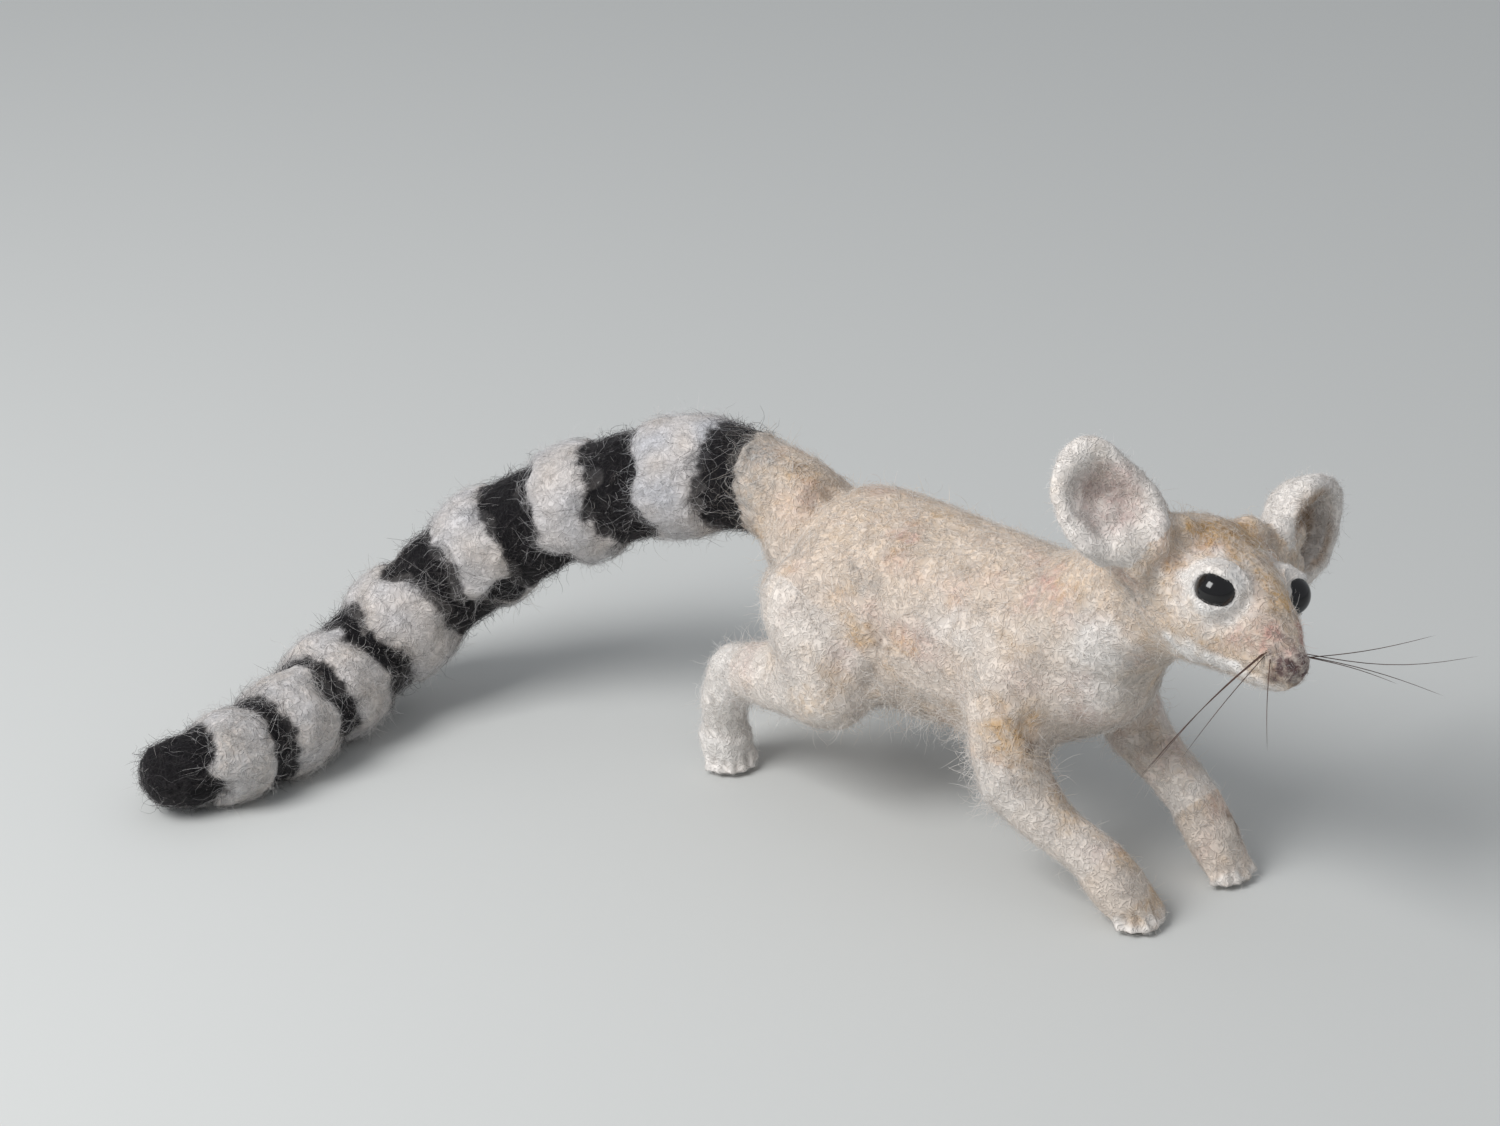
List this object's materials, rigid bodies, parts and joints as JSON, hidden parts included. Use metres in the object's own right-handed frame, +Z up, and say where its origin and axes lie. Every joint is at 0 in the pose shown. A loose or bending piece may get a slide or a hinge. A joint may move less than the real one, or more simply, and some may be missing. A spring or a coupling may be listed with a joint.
{
  "type": "needle-felted ringtail figure",
  "caption": "Needle-felted wool figure of a ringtail stepping forward, with large cupped ears, black bead eyes and a long banded tail that curves down to the floor beside it.",
  "frame": {"origin": "centre of the bounding box, on the floor the paws and tail rest on", "axes": "+X forward along the trunk towards the head, +Y to the figure's left, +Z up"},
  "size_m": [0.1376, 0.0952, 0.0634],
  "materials": {
    "cream_wool": "needle-felted wool, fuzzy",
    "white_wool": "needle-felted wool, fuzzy",
    "black_wool": "needle-felted wool, fuzzy",
    "pink_wool": "needle-felted wool, firm",
    "black_glass": "polished opaque bead"
  },
  "bodies": {
    "root": {"haunches": "cream_wool", "chest": "cream_wool", "neck": "cream_wool", "head": "cream_wool", "tail_root": "cream_wool", "thigh_left": "cream_wool", "thigh_right": "cream_wool", "hock_left": "cream_wool", "hock_right": "cream_wool", "hind_paw_left": "white_wool", "hind_paw_right": "white_wool", "upper_arm_left": "cream_wool", "upper_arm_right": "cream_wool", "forearm_left": "cream_wool", "forearm_right": "cream_wool", "fore_paw_left": "white_wool", "fore_paw_right": "white_wool", "ear_left": "white_wool", "ear_right": "white_wool", "eye_ring_left": "white_wool", "eye_ring_right": "white_wool", "eye_left": "black_glass", "eye_right": "black_glass", "nose": "pink_wool", "tail_black_1": "black_wool", "tail_white_1": "white_wool", "tail_black_2": "black_wool", "tail_white_2": "white_wool", "tail_black_3": "black_wool", "tail_white_3": "white_wool", "tail_black_4": "black_wool", "tail_white_4": "white_wool", "tail_black_5": "black_wool", "tail_white_5": "white_wool", "tail_black_6": "black_wool", "tail_white_6": "white_wool", "tail_black_7": "black_wool", "tail_white_7": "white_wool", "tail_tip": "black_wool"}
  },
  "joints": []
}
